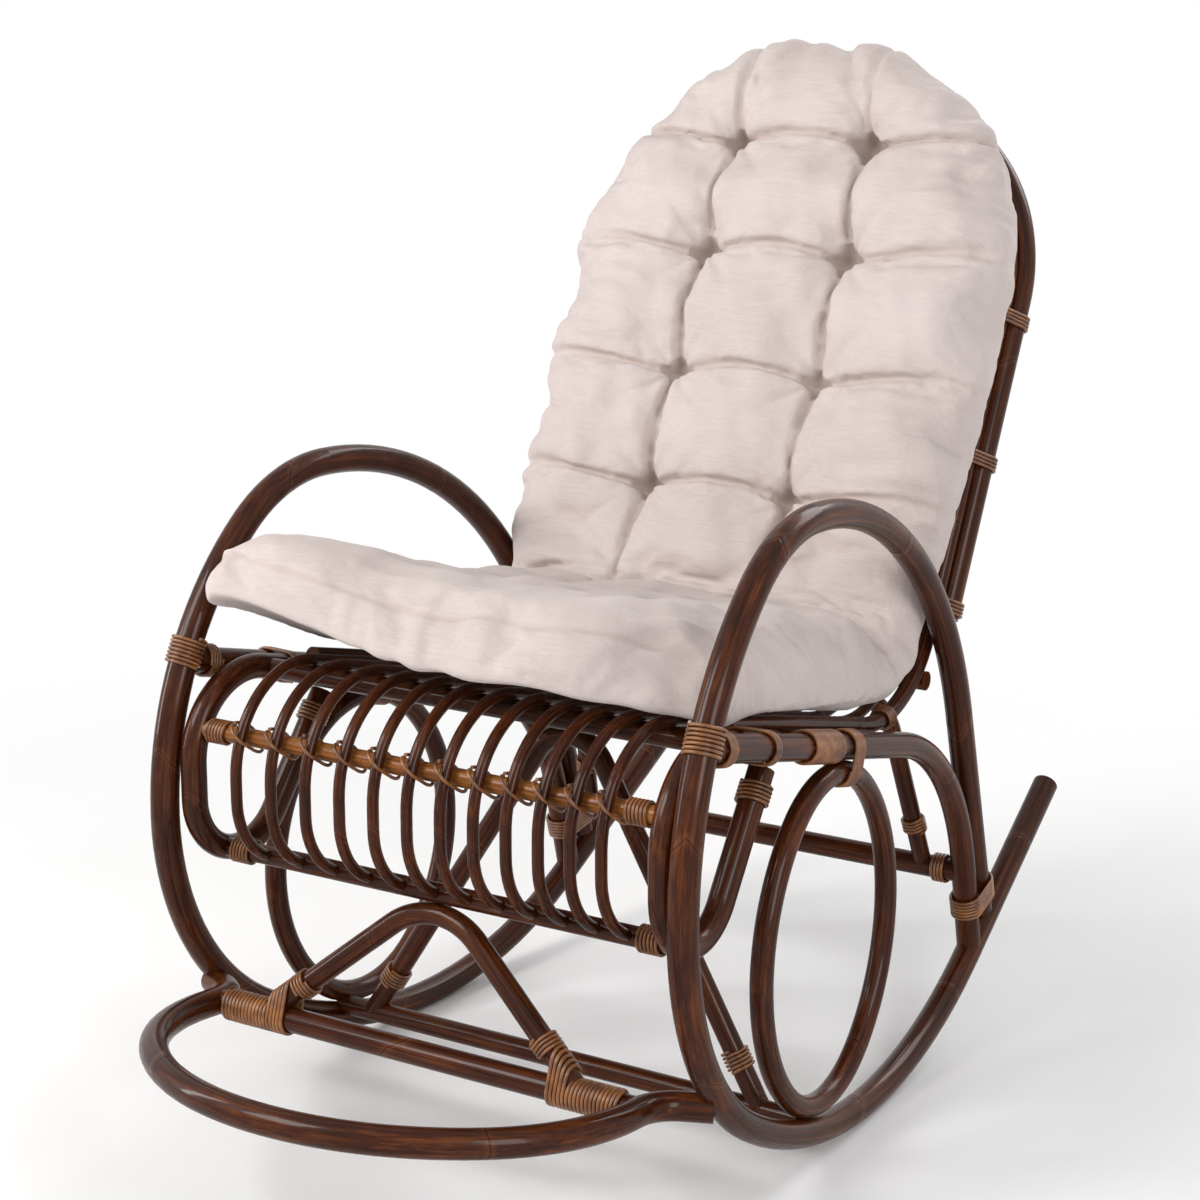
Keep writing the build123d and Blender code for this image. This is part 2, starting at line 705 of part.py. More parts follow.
# Rear leg of the rail bound to the arm's rear leg
leg_angle = SEAT_SLOPE + RAIL_LEG_TURN
rail_bend_centre = Vector(*RAIL_BEND) + heading(-90 - SEAT_SLOPE) * RAIL_BEND_R
rail_leg_top = rail_bend_centre + heading(90 - leg_angle) * RAIL_BEND_R
rail_leg_at = Vector(
    rail_leg_top.X + (rail_leg_top.Y - REAR_WIND_Z) / tan(radians(leg_angle)), REAR_WIND_Z
)
arm_top_z = post_centre.Y + (POST_R - ARM_FRONT_R) * sin(radians(POST_TURN)) + ARM_FRONT_R
arm_top_y = post_centre.X - (POST_R - ARM_FRONT_R) * cos(radians(POST_TURN))
arm_leg_top = Vector(arm_top_y, arm_top_z - ARM_REAR_R) + heading(90 - ARM_REAR_TURN) * ARM_REAR_R
pair_angle = (leg_angle + ARM_REAR_TURN) / 2
arm_leg_gap = (arm_leg_top - rail_leg_at).dot(heading(90 - ARM_REAR_TURN)) / cos(
    radians(pair_angle - ARM_REAR_TURN)
)
rear_wind = wind(
    "rear legs",
    on_side(rail_leg_at.X, rail_leg_at.Y),
    side_way(-pair_angle),
    REAR_LEG_TURNS,
    RAIL_D / 2,
    side_way(90 - pair_angle),
    HOOP_D / 2,
    arm_leg_gap,
    slack=REAR_LEG_SLACK,
)
make_windings("rear_leg_wraps", rear_wind)

# Apron: rear leg of the hoop, ends of the two rails
apron_leg_start = Vector(APRON_FRONT_Y + APRON_LOW_R, APRON_LOW_Z)
apron_leg_start = apron_leg_start + heading(APRON_BACK_RISE - 90) * APRON_LOW_R
apron_leg_at = apron_leg_start + heading(APRON_BACK_RISE) * APRON_WIND
apron_wind = wind(
    "apron hoop",
    on_side(apron_leg_at.X, apron_leg_at.Y, APRON_INSET),
    side_way(APRON_BACK_RISE),
    APRON_TURNS,
    APRON_HOOP_D / 2,
)
make_windings("apron_hoop_wraps", apron_wind)
front_rail_wind = wind(
    "front rail", (FRONT_RAIL_WIND_X, *front_rail_at), (1, 0, 0), APRON_RAIL_TURNS, FRONT_RAIL_D / 2
)
make_windings("front_rail_wraps", front_rail_wind)
lower_rail_wind = wind(
    "lower rail", (LOWER_RAIL_WIND_X, *LOWER_RAIL_AT), (1, 0, 0), APRON_RAIL_TURNS, LOWER_RAIL_D / 2
)
make_windings("lower_rail_wraps", lower_rail_wind)

# Low braces: stretcher ends and brace feet


def brace_place(foot, top, share):
    """Point on a brace's leg and the way it runs, at a share of the way from foot to top."""
    foot, top = Vector(foot), Vector(top)
    return foot + (top - foot) * share, top - foot


stretcher_wind = wind(
    "stretcher", (STRETCHER_WIND_X, *BOW_AT), (1, 0, 0), STRETCHER_TURNS, STRETCHER_D / 2
)
make_windings("stretcher_wraps", stretcher_wind)
front_foot = brace_place((FRONT_ARCH_HALF, *BOW_AT), (0, *FRONT_ARCH_TOP), FRONT_FOOT_WIND)
make_windings("front_arch_wraps", wind("front arch", *front_foot, FRONT_FOOT_TURNS, ARCH_D / 2))
middle_foot = brace_place((MIDDLE_ARCH_HALF, *MIDDLE_AT), (0, *MIDDLE_ARCH_TOP), MIDDLE_FOOT_WIND)
make_windings("middle_arch_wraps", wind("middle arch", *middle_foot, MIDDLE_FOOT_TURNS, ARCH_D / 2))
rear_corner = (REAR_ARCH_TOP_HALF, rear_arch_top.X, rear_arch_top.Y)
rear_foot = brace_place((REAR_ARCH_FOOT, *REAR_AT), rear_corner, REAR_FOOT_WIND)
make_windings("rear_arch_wraps", wind("rear arch", *rear_foot, REAR_FOOT_TURNS, REAR_ARCH_D / 2))
rear_stretcher_wind = wind(
    "rear stretcher",
    (REAR_STRETCHER_WIND_X, *REAR_AT),
    (1, 0, 0),
    REAR_STRETCHER_TURNS,
    STRETCHER_D / 2,
)
make_windings("rear_stretcher_wraps", rear_stretcher_wind)

# Lashings of the ribs to the front rail, laid slantwise over each crossing
rib_out = Vector(0, front_rail_y - apron_top_centre_y, FRONT_RAIL_Z - apron_top_centre_z).normalized()
rib_up = rib_out.cross(Vector(1, 0, 0))
slant = sqrt(2)
lashing_axis = Vector(1, 0, 0) + rib_up
lashing = wind(
    "rib lashing",
    (0, *front_rail_at),
    lashing_axis,
    LASHING_TURNS,
    FRONT_RAIL_D / 2 * slant,
    rib_out,
    RIB_D / 2 * slant,
    RIB_TOP_R - APRON_TOP_R,
    slack=LASHING_SLACK,
)
with BuildPart() as lashings:
    for rib_x in rib_xs:
        add(lashing.moved(Location((rib_x, 0, 0))))
finish("rib_lashings", lashings)

# Cushion: sections across the pad, from the seat's front edge round the bend to the arched top
pad_lift = SHELL_D / 2 + CUSHION_GAP
pad_bend_r = RIB_BEND_R - pad_lift
pad_bend_start = rib_bend_start + heading(90 - SEAT_SLOPE) * pad_lift
pad_back_start = rib_bend_centre + heading(-BACK_LEAN) * pad_bend_r


def pad_plane(base, angle):
    """Section plane with local x across the chair and local y out of the pad's face."""
    way = heading(angle)
    return Plane((0, base.X, base.Y), x_dir=(1, 0, 0), z_dir=(0, -way.X, -way.Y))


def pad_section(base, angle, half, thick, dip, lift=0):
    """Flat underside, drawn-in sides and three crowns with a channel between each two."""
    tuft = min(TUFT_HALF, TUFT_SHARE * half)
    edge = half - EDGE_SHARE * thick
    bulge = lift + BULGE_SHARE * thick
    shoulder = lift + SHOULDER_SHARE * thick
    with BuildSketch(pad_plane(base, angle)) as section:
        with BuildLine():
            Line((-edge, lift), (edge, lift))
            ThreePointArc((edge, lift), (half, bulge), (edge, shoulder))
            ThreePointArc((edge, shoulder), ((edge + tuft) / 2, lift + thick), (tuft, lift + dip))
            ThreePointArc((tuft, lift + dip), (0, lift + thick), (-tuft, lift + dip))
            ThreePointArc((-tuft, lift + dip), (-(edge + tuft) / 2, lift + thick), (-edge, shoulder))
            ThreePointArc((-edge, shoulder), (-half, bulge), (-edge, lift))
        make_face()
    return section.sketch


sections = []
for reach, half, thick in SEAT_SECTIONS:
    base = pad_bend_start + heading(-SEAT_SLOPE) * reach
    sections.append(pad_section(base, -SEAT_SLOPE, half, thick, SEAT_DIP_SHARE * thick))
for turn in BEND_SECTIONS:
    base = rib_bend_centre + heading(turn - SEAT_SLOPE - 90) * pad_bend_r
    sections.append(pad_section(base, turn - SEAT_SLOPE, BEND_HALF, BEND_T, BEND_DIP))


def pad_half(reach):
    """Half width of the back: straight sides below a round top."""
    above = max(0, reach - (PAD_TOP - PAD_TOP_R))
    below = min(1, reach / TUFT_ROWS[1])
    straight = BEND_HALF + (BACK_PAD_HALF - BEND_HALF) * below
    return straight * sqrt(max(0, 1 - (above / PAD_TOP_R) ** 2))


row_gap = TUFT_ROWS[1] - TUFT_ROWS[0]
back_reaches = []
for row in TUFT_ROWS:
    back_reaches.append((row - row_gap / 2, PAD_T, PAD_DIP, 0))
    back_reaches.append((row, ROW_T, ROW_DIP, 0))
for reach, thick, dip, lift in (*back_reaches, *TOP_SECTIONS):
    base = pad_back_start + heading(90 - BACK_LEAN) * reach
    sections.append(pad_section(base, 90 - BACK_LEAN, pad_half(reach), thick, dip, lift))

with BuildPart() as cushion:
    loft(sections, ruled=True)
finish("cushion", cushion)
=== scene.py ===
import bpy
import heapq
import json
import math
import numpy as np
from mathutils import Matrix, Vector


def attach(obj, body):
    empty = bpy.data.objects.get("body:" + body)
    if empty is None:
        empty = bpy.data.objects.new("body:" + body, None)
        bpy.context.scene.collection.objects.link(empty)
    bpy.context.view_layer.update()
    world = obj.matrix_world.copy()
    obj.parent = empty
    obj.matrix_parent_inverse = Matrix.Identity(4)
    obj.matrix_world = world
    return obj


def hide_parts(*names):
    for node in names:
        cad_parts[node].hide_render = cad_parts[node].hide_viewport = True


# Rattan rocking chair with a loose tufted cushion, in metres.

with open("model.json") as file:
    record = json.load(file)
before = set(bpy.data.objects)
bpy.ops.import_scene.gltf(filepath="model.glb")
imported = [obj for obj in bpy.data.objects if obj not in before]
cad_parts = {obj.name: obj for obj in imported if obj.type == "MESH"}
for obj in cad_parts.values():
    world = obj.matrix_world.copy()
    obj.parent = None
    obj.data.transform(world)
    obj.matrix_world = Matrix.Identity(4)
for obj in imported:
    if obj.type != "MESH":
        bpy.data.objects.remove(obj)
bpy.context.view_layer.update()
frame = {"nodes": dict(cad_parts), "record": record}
NODES = frame["nodes"]
scene = bpy.context.scene

# Cushion: the line it lies on, seen from the side, as a seat line, a bend and a back line
BEND_Y, BEND_Z = 0.139, 0.513
BEND_R = 0.1169
SEAT_SLOPE = math.radians(13.7)
BACK_SLOPE = math.radians(63)
BEND_LENGTH = BEND_R * (BACK_SLOPE + SEAT_SLOPE)
SEAT_FRONT = -0.440
PAD_TOP = 0.620 + BEND_LENGTH

# Cushion: its tufts, and how wide and deep its folds, pleats and lumps are
TUFT_X = 0.085
TUFT_ROWS = np.array([0.096, 0.225, 0.363, 0.492]) + BEND_LENGTH
TUFT_WIDTH = 0.013
CHANNEL_WIDTH = 0.036
COLUMN_FOLD_WIDTH = 0.0050
ROW_FOLD_WIDTH = 0.0048
CHANNEL_FILL = 0.010
TUFT_PULL = 0.010
FOLD_DEPTH = 0.0100
TUFT_DEPTH = 0.006
SEAM_HIGH = 0.050
SEAM_WAVE = 0.008
SEAM_WIDTH = 0.0022
SEAM_DEPTH = 0.0022
TUFT_PLEAT = 0.0030
SIDE_PLEAT = 0.0026
SIDE_GATHER = 0.0022
END_GATHER = 0.0030
LUMP_LENGTHS = np.linspace(0.035, 0.120, 16)
LUMP_SHARE = 0.010
LUMP_SEED = 11

# Cushion: how its front corners and lower edges sit
CORNER_LIFT = 0.036
CORNER_BACK = 0.008
CORNER_PUSH = 0.080
CORNER_SAG = 0.12
EDGE_DROOP = 0.010

# Cushion: its mesh and the run of the cloth
VOXEL = 0.006
SMOOTH_ROUNDS = 6
SIM_FRAMES = 20
MOST_MOVE = 0.012
CLOTH = {
    "quality": 4,
    "mass": 0.25,
    "tension_stiffness": 18,
    "compression_stiffness": 14,
    "shear_stiffness": 6,
    "bending_stiffness": 0.4,
    "use_pressure": True,
    "uniform_pressure_force": 3.0,
    "shrink_min": -0.035,
    "pin_stiffness": 1.0,
}

# Front brace, foot and top, its stretcher and the cane that binds them
BRACE_FOOT = (0.180, -0.319, 0.140)
BRACE_TOP = (0.0, -0.280, 0.287)
BRACE_R = 0.0105
STRETCHER_R = 0.0120
STRAND_R = 0.0019
BINDING_REACH = (0.223, 0.148)
BINDING_TURNS = 18
BINDING_STEPS = 44

# Camera
CAMERA_AT = (1.33992, -2.12043, 1.08865)
CAMERA_TARGET = (0.0, -0.005298, 0.506816)
LENS = 77.99
SENSOR = 36

# Colours, linear
DARK_POLE = ((0.010, 0.0026, 0.0012), (0.046, 0.0105, 0.0030), (0.155, 0.043, 0.0095))
LIGHT_POLE = ((0.075, 0.022, 0.007), (0.240, 0.085, 0.020), (0.460, 0.200, 0.055))
CANE = ((0.052, 0.015, 0.0035), (0.170, 0.056, 0.0105), (0.330, 0.130, 0.030))
COTTON = ((0.535, 0.455, 0.430), (0.588, 0.508, 0.484), (0.628, 0.550, 0.530))
# Painted shade: the darker colour the cotton takes in its folds, tufts and seam groove
COTTON_FOLD_SHADE = (0.36, 0.27, 0.19)
FLOOR_PALE = (0.90, 0.90, 0.90)

# Distance between the rings of the cane, by kind of pole
DARK_RINGS, THIN_RINGS, LIGHT_RINGS = 0.27, 0.21, 0.23

# Light of the room, and how far from the middle the floor starts to whiten and is white
AMBIENT = 0.36
FLOOR_CLEAR, FLOOR_WHITE = 0.7, 1.9


def smoothstep(low, high, value):
    t = np.clip((value - low) / (high - low), 0, 1)
    return t * t * (3 - 2 * t)


def ridge(value, width):
    return np.exp(-(value / width) ** 2)


# Materials

class Shader:
    """One material with short names for the nodes it uses."""

    def __init__(self, name):
        self.material = bpy.data.materials.new(name)
        self.material.use_nodes = True
        self.tree = self.material.node_tree
        self.surface = self.tree.nodes["Principled BSDF"]
        geometry = self.node("ShaderNodeNewGeometry")
        self.place, self.facing = geometry.outputs["Position"], geometry.outputs["Normal"]

    def link(self, source, socket):
        if hasattr(source, "is_output"):
            self.tree.links.new(source, socket)
        else:
            socket.default_value = source

    def node(self, kind, **settings):
        made = self.tree.nodes.new(kind)
        for key, value in settings.items():
            setattr(made, key, value)
        return made

    def math(self, operation, a, b=0.0, c=0.0):
        made = self.node("ShaderNodeMath", operation=operation)
        for socket, value in zip(made.inputs, (a, b, c)):
            self.link(value, socket)
        return made.outputs[0]

    def scaled(self, vector, factors):
        made = self.node("ShaderNodeVectorMath", operation="MULTIPLY")
        self.link(vector, made.inputs[0])
        made.inputs[1].default_value = factors
        return made.outputs[0]

    def added(self, a, b):
        made = self.node("ShaderNodeVectorMath", operation="ADD")
        self.link(a, made.inputs[0])
        self.link(b, made.inputs[1])
        return made.outputs[0]

    def grain(self, round_scale, along_scale):
        """Coordinates that change fast round a pole and slowly along it."""
        turned = self.scaled(self.facing, (round_scale,) * 3)
        return self.added(turned, self.scaled(self.place, (along_scale,) * 3))

    def noise(self, vector, scale, detail=3.0, rough=0.55):
        made = self.node("ShaderNodeTexNoise")
        self.link(vector, made.inputs["Vector"])
        made.inputs["Scale"].default_value = scale
        made.inputs["Detail"].default_value = detail
        made.inputs["Roughness"].default_value = rough
        return made.outputs[0]

    def ramp(self, factor, stops):
        made = self.node("ShaderNodeValToRGB")
        self.link(factor, made.inputs[0])
        elements = made.color_ramp.elements
        while len(elements) < len(stops):
            elements.new(0.5)
        for element, (place, colour) in zip(elements, stops):
            element.position = place
            element.color = (*colour, 1)
        return made.outputs[0]

    def span(self, value, low, high, out_low=0.0, out_high=1.0):
        made = self.node("ShaderNodeMapRange", interpolation_type="SMOOTHSTEP")
        for socket, number in zip(made.inputs, (value, low, high, out_low, out_high)):
            self.link(number, socket)
        return made.outputs[0]

    def attribute(self, name):
        return self.node("ShaderNodeAttribute", attribute_name=name).outputs["Fac"]

    def tint(self, colour, other, factor):
        made = self.node("ShaderNodeMix", data_type="RGBA")
        self.link(factor, made.inputs[0])
        self.link(colour, made.inputs[6])
        self.link(other, made.inputs[7])
        return made.outputs[2]

    def bump(self, height, strength, distance, normal=None):
        made = self.node("ShaderNodeBump")
        made.inputs["Strength"].default_value = strength
        made.inputs["Distance"].default_value = distance
        self.link(height, made.inputs["Height"])
        if normal is not None:
            self.link(normal, made.inputs["Normal"])
        return made.outputs[0]


def rattan(name, colours, ring_pitch):
    """Lacquered pole: long streaks, mottling, fine fibres and a ring at each joint of the cane."""
    s = Shader(name)
    streaks = s.noise(s.grain(2.2, 5.0), 1.6, 4)
    fibres = s.noise(s.grain(9.0, 16.0), 1.7, 3)
    mottle = s.noise(s.place, 11.0, 4, 0.6)
    specks = s.noise(s.place, 190.0, 2)
    run = s.math("MULTIPLY", s.attribute("run"), 1 / ring_pitch)
    uneven = s.math("MULTIPLY_ADD", s.noise(s.place, 2.1, 1), 0.9, run)
    near = s.math("ABSOLUTE", s.math("SUBTRACT", s.math("FRACT", uneven), 0.5))
    ring = s.span(near, 0.0, 0.006, 1.0, 0.0)
    collar = s.span(near, 0.004, 0.03, 1.0, 0.0)
    tone = s.math("ADD", s.math("MULTIPLY", streaks, 0.55), s.math("MULTIPLY", mottle, 0.3))
    tone = s.math("ADD", tone, s.math("MULTIPLY", fibres, 0.2))
    tone = s.math("MULTIPLY_ADD", collar, 0.06, tone)
    colour = s.ramp(tone, ((0.36, colours[0]), (0.53, colours[1]), (0.74, colours[2])))
    colour = s.tint(colour, (*colours[0], 1), s.math("MULTIPLY", ring, 0.75))
    dusty = s.span(specks, 0.62, 0.75, 0.0, 0.35)
    colour = s.tint(colour, (*colours[0], 1), dusty)
    s.link(colour, s.surface.inputs["Base Color"])
    s.link(s.span(fibres, 0.3, 0.75, 0.24, 0.44), s.surface.inputs["Roughness"])
    s.surface.inputs["Specular IOR Level"].default_value = 0.06
    s.surface.inputs["Coat Weight"].default_value = 0.24
    s.link(s.span(mottle, 0.3, 0.7, 0.06, 0.15), s.surface.inputs["Coat Roughness"])
    normal = s.bump(fibres, 0.22, 0.0012)
    normal = s.bump(s.math("SUBTRACT", collar, ring), 0.5, 0.0012, normal)
    s.link(normal, s.surface.inputs["Normal"])
    return s.material


def split_cane(name, colours):
    """Binding strips: a different tone from turn to turn, darker stains and lengthwise fibres."""
    s = Shader(name)
    turns = s.noise(s.place, 85.0, 2, 0.6)
    stain = s.noise(s.place, 17.0, 3, 0.6)
    fibres = s.noise(s.grain(6.0, 60.0), 1.5, 3)
    tone = s.math("ADD", s.math("MULTIPLY", turns, 0.45), s.math("MULTIPLY", stain, 0.35))
    tone = s.math("MULTIPLY_ADD", fibres, 0.25, tone)
    colour = s.ramp(tone, ((0.38, colours[0]), (0.53, colours[1]), (0.70, colours[2])))
    s.link(colour, s.surface.inputs["Base Color"])
    s.link(s.span(fibres, 0.3, 0.7, 0.30, 0.52), s.surface.inputs["Roughness"])
    s.surface.inputs["Coat Weight"].default_value = 0.25
    s.surface.inputs["Coat Roughness"].default_value = 0.25
    s.link(s.bump(fibres, 0.35, 0.0008), s.surface.inputs["Normal"])
    return s.material


def cotton_cloth(name, colours):
    """Plain cream cotton: woven threads, uneven slubs, faint shading, and painted shade that darkens its
    folds, tufts and seam.
    """
    s = Shader(name)
    cloud = s.noise(s.place, 5.0, 4, 0.6)
    slub = s.noise(s.added(s.scaled(s.place, (30.0, 420.0, 420.0)), (3.1, 0.4, 1.7)), 1.0, 3)
    warp = s.noise(s.scaled(s.place, (900.0, 160.0, 160.0)), 1.0, 2)
    weft = s.noise(s.scaled(s.place, (160.0, 900.0, 900.0)), 1.0, 2)
    crumple = s.noise(s.place, 55.0, 4, 0.6)
    tone = s.math("ADD", s.math("MULTIPLY", cloud, 0.6), s.math("MULTIPLY", slub, 0.4))
    colour = s.ramp(tone, ((0.36, colours[0]), (0.5, colours[1]), (0.66, colours[2])))
    # Painted shade: darken towards the fold shade colour where the folds, tufts and seam groove lie
    colour = s.tint(colour, (*COTTON_FOLD_SHADE, 1), s.math("MULTIPLY", s.attribute("fold"), 0.42))
    s.link(colour, s.surface.inputs["Base Color"])
    s.link(s.span(slub, 0.3, 0.7, 0.80, 0.95), s.surface.inputs["Roughness"])
    s.surface.inputs["Sheen Weight"].default_value = 0.12
    s.surface.inputs["Specular IOR Level"].default_value = 0.18
    normal = s.bump(s.math("ADD", warp, weft), 0.16, 0.0006)
    normal = s.bump(crumple, 0.22, 0.004, normal)
    s.link(normal, s.surface.inputs["Normal"])
    return s.material


# Values kept on a mesh's points

def keep_values(mesh, **values):
    for name, numbers in values.items():
        layer = mesh.attributes.new(name, "FLOAT", "POINT")
        layer.data.foreach_set("value", numbers.astype(np.float32))


def values_of(mesh, name):
    flat = np.zeros(len(mesh.vertices), np.float32)
    mesh.attributes[name].data.foreach_get("value", flat)
    return flat.astype(float)


# Distance along each pole, for the rings of the cane

def set_run(obj):
    mesh = obj.data
    points = np.array([v.co for v in mesh.vertices], float).reshape(-1, 3)
    keys, index = np.unique(np.round(points, 5), axis=0, return_inverse=True)
    index = index.ravel()
    near = [[] for _ in keys]
    for edge in mesh.edges:
        a, b = index[edge.vertices[0]], index[edge.vertices[1]]
        if a != b:
            length = float(np.linalg.norm(keys[a] - keys[b]))
            near[a].append((b, length))
            near[b].append((a, length))

    def reach(start):
        best = np.full(len(keys), np.inf)
        best[start] = 0
        queue = [(0.0, start)]
        while queue:
            so_far, at = heapq.heappop(queue)
            if so_far > best[at]:
                continue
            for other, length in near[at]:
                if so_far + length < best[other]:
                    best[other] = so_far + length
                    heapq.heappush(queue, (so_far + length, other))
        return np.where(np.isfinite(best), best, 0)

    run = reach(int(np.argmax(reach(0))))
    keep_values(mesh, run=run[index])


poles = {
    "rattan_dark": rattan("rattan_dark", DARK_POLE, DARK_RINGS),
    "rattan_light": rattan("rattan_light", LIGHT_POLE, LIGHT_RINGS),
}
thin_pole = rattan("rattan_thin", DARK_POLE, THIN_RINGS)
cane = split_cane("cane", CANE)
cotton = cotton_cloth("cotton", COTTON)
SLOT_OF = {row["node"]: row["material_slot"] for row in frame["record"]["subparts"]}
for label, obj in NODES.items():
    slot = SLOT_OF[label]
    if slot == "cotton":
        continue
    obj.data.materials.clear()
    if slot == "cane":
        obj.data.materials.append(cane)
    else:
        obj.data.materials.append(thin_pole if label.startswith("rib_") else poles[slot])
        set_run(obj)
    obj.data.shade_smooth()


# Cushion

def pad_place(points):
    """Across, along the pad from the start of its bend, and height off its underside."""
    y, z = points[:, 1] - BEND_Y, points[:, 2] - BEND_Z
    seat_s = y * math.cos(SEAT_SLOPE) - z * math.sin(SEAT_SLOPE)
    seat_h = y * math.sin(SEAT_SLOPE) + z * math.cos(SEAT_SLOPE) + BEND_R
    back_s = y * math.cos(BACK_SLOPE) + z * math.sin(BACK_SLOPE)
    back_h = -y * math.sin(BACK_SLOPE) + z * math.cos(BACK_SLOPE) + BEND_R
    turn = np.clip(np.arctan2(y, -z) + SEAT_SLOPE, 0, BACK_SLOPE + SEAT_SLOPE)
    along = np.where(seat_s < 0, seat_s, np.where(back_s > 0, BEND_LENGTH + back_s, BEND_R * turn))
    bend_h = BEND_R - np.hypot(y, z)
    high = np.where((seat_s < 0) & (back_s <= 0), seat_h, np.where(back_s > 0, back_h, bend_h))
    return points[:, 0], along, high


def normals_of(mesh):
    flat = np.zeros(len(mesh.vertices) * 3, np.float32)
    mesh.vertex_normals.foreach_get("vector", flat)
    return flat.reshape(-1, 3).astype(float)


def points_of(mesh):
    flat = np.zeros(len(mesh.vertices) * 3, np.float32)
    mesh.vertices.foreach_get("co", flat)
    return flat.reshape(-1, 3).astype(float)


def set_points(mesh, points):
    mesh.vertices.foreach_set("co", points.astype(np.float32).ravel())
    mesh.update()


def baked(obj):
    """The object's mesh with its modifiers applied."""
    made = bpy.data.meshes.new_from_object(obj.evaluated_get(bpy.context.evaluated_depsgraph_get()))
    obj.modifiers.clear()
    old, obj.data = obj.data, made
    bpy.data.meshes.remove(old)


def row_line(x, row):
    """A row's crease rises a little between the tufts and towards the edges."""
    between = np.clip(1 - (x / TUFT_X) ** 2, 0, 1)
    outside = np.clip((np.abs(x) - TUFT_X) / 0.17, 0, 1)
    return row + 0.010 * between + 0.016 * outside * np.sin(outside * 2.2)


def creases(x, along, high):
    """How deep each point lies in the channels and rows: broad dips, sharp folds and tufts."""
    face = smoothstep(0.030, 0.055, high)
    column = np.abs(np.abs(x) - TUFT_X * (1 - 0.12 * smoothstep(0.5, 0.75, along)))
    column_on = smoothstep(-0.10, 0.09, along) * (1 - 0.45 * smoothstep(PAD_TOP - 0.09, PAD_TOP, along))
    sharp = 0.75 * ridge(column, COLUMN_FOLD_WIDTH) * column_on
    broad = ridge(column, CHANNEL_WIDTH) * column_on
    tuft = np.zeros_like(x)
    for row in TUFT_ROWS:
        off = along - row_line(x, row)
        edge = 1 - 0.6 * smoothstep(0.17, 0.25, np.abs(x))
        sharp = np.maximum(sharp, ridge(off, ROW_FOLD_WIDTH) * edge)
        broad = np.maximum(broad, ridge(off, CHANNEL_WIDTH))
        tuft = np.maximum(tuft, ridge(np.hypot(column, off), TUFT_WIDTH))
    return face * sharp, face * broad, face * tuft


def fan_wrinkles(x, along, high):
    """Small pleats that run out from each tuft and from the edges."""
    face = smoothstep(0.028, 0.05, high)
    total = np.zeros_like(x)
    for number, row in enumerate(TUFT_ROWS):
        for side in (-1, 1):
            dx, ds = x - side * TUFT_X, along - row
            far, angle = np.hypot(dx, ds), np.arctan2(ds, dx)
            spokes = np.sin(angle * (6 + number % 3) + number * 1.7 + side)
            pleat = spokes * np.sin(angle * 3.0 + 2.1 * number)
            total += TUFT_PLEAT * pleat * np.exp(-far / 0.045) * smoothstep(0.004, 0.02, far)
        off = along - row_line(x, row)
        side = smoothstep(0.12, 0.19, np.abs(x)) * (1 - smoothstep(0.245, 0.262, np.abs(x)))
        patchy = 0.5 + 0.5 * np.sin(off * 31 + number * 2.3 + x * 9)
        folds = np.sin(off * 285 + number + 4 * x) * np.exp(-np.abs(off) / 0.042)
        total += SIDE_PLEAT * side * patchy * folds
    return face * total


def edge_gathers(x, along, high):
    """Puckers along the sewn edges."""
    side = smoothstep(0.195, 0.245, np.abs(x)) * smoothstep(0.01, 0.03, high)
    top = smoothstep(PAD_TOP - 0.07, PAD_TOP - 0.01, along)
    front = 1 - smoothstep(SEAT_FRONT - 0.002, SEAT_FRONT + 0.055, along)
    ripple_side = np.sin(along * 118 + 3 * np.sin(along * 21)) * (0.6 + 0.4 * np.sin(along * 13 + x * 5))
    ripple_x = np.sin(x * 105 + 2.5 * np.sin(x * 23 + 1.0)) * (0.6 + 0.4 * np.sin(x * 17 + 0.7))
    return SIDE_GATHER * side * ripple_side + END_GATHER * np.maximum(top, 0.8 * front) * ripple_x


def soft_lumps(x, along):
    """Uneven filling: many slack waves of different lengths and directions."""
    chance = np.random.default_rng(LUMP_SEED)
    total = np.zeros_like(x)
    for length in LUMP_LENGTHS:
        turn, phase = chance.uniform(0, math.pi), chance.uniform(0, 2 * math.pi)
        wave = (x * math.cos(turn) + along * math.sin(turn)) * 2 * math.pi / length
        total += LUMP_SHARE * length * np.sin(wave + phase + 0.8 * np.sin(wave * 0.37 + phase))
    return total


def even_mesh(source):
    """The plain solid as an even net of faces with softened edges."""
    mesh = source.data.copy()
    mesh.materials.clear()
    pad = bpy.data.objects.new("cushion_cloth", mesh)
    scene.collection.objects.link(pad)
    remesh = pad.modifiers.new("remesh", "REMESH")
    remesh.mode = "VOXEL"
    remesh.voxel_size = VOXEL
    smooth = pad.modifiers.new("smooth", "SMOOTH")
    smooth.iterations = SMOOTH_ROUNDS
    baked(pad)
    return pad


def bend_corners(points, x, along):
    """The left front corner stands up, and the right one lies pushed back behind the post."""
    lifted = smoothstep(0.02, -0.235, x) * smoothstep(-0.20, SEAT_FRONT, along)
    points[:, 2] += CORNER_LIFT * lifted
    points[:, 1] += CORNER_BACK * lifted
    pushed = CORNER_PUSH * smoothstep(0.09, 0.258, x) * smoothstep(-0.22, SEAT_FRONT, along)
    points[:, 1] += pushed * math.cos(SEAT_SLOPE)
    points[:, 2] -= pushed * math.sin(SEAT_SLOPE) + CORNER_SAG * pushed


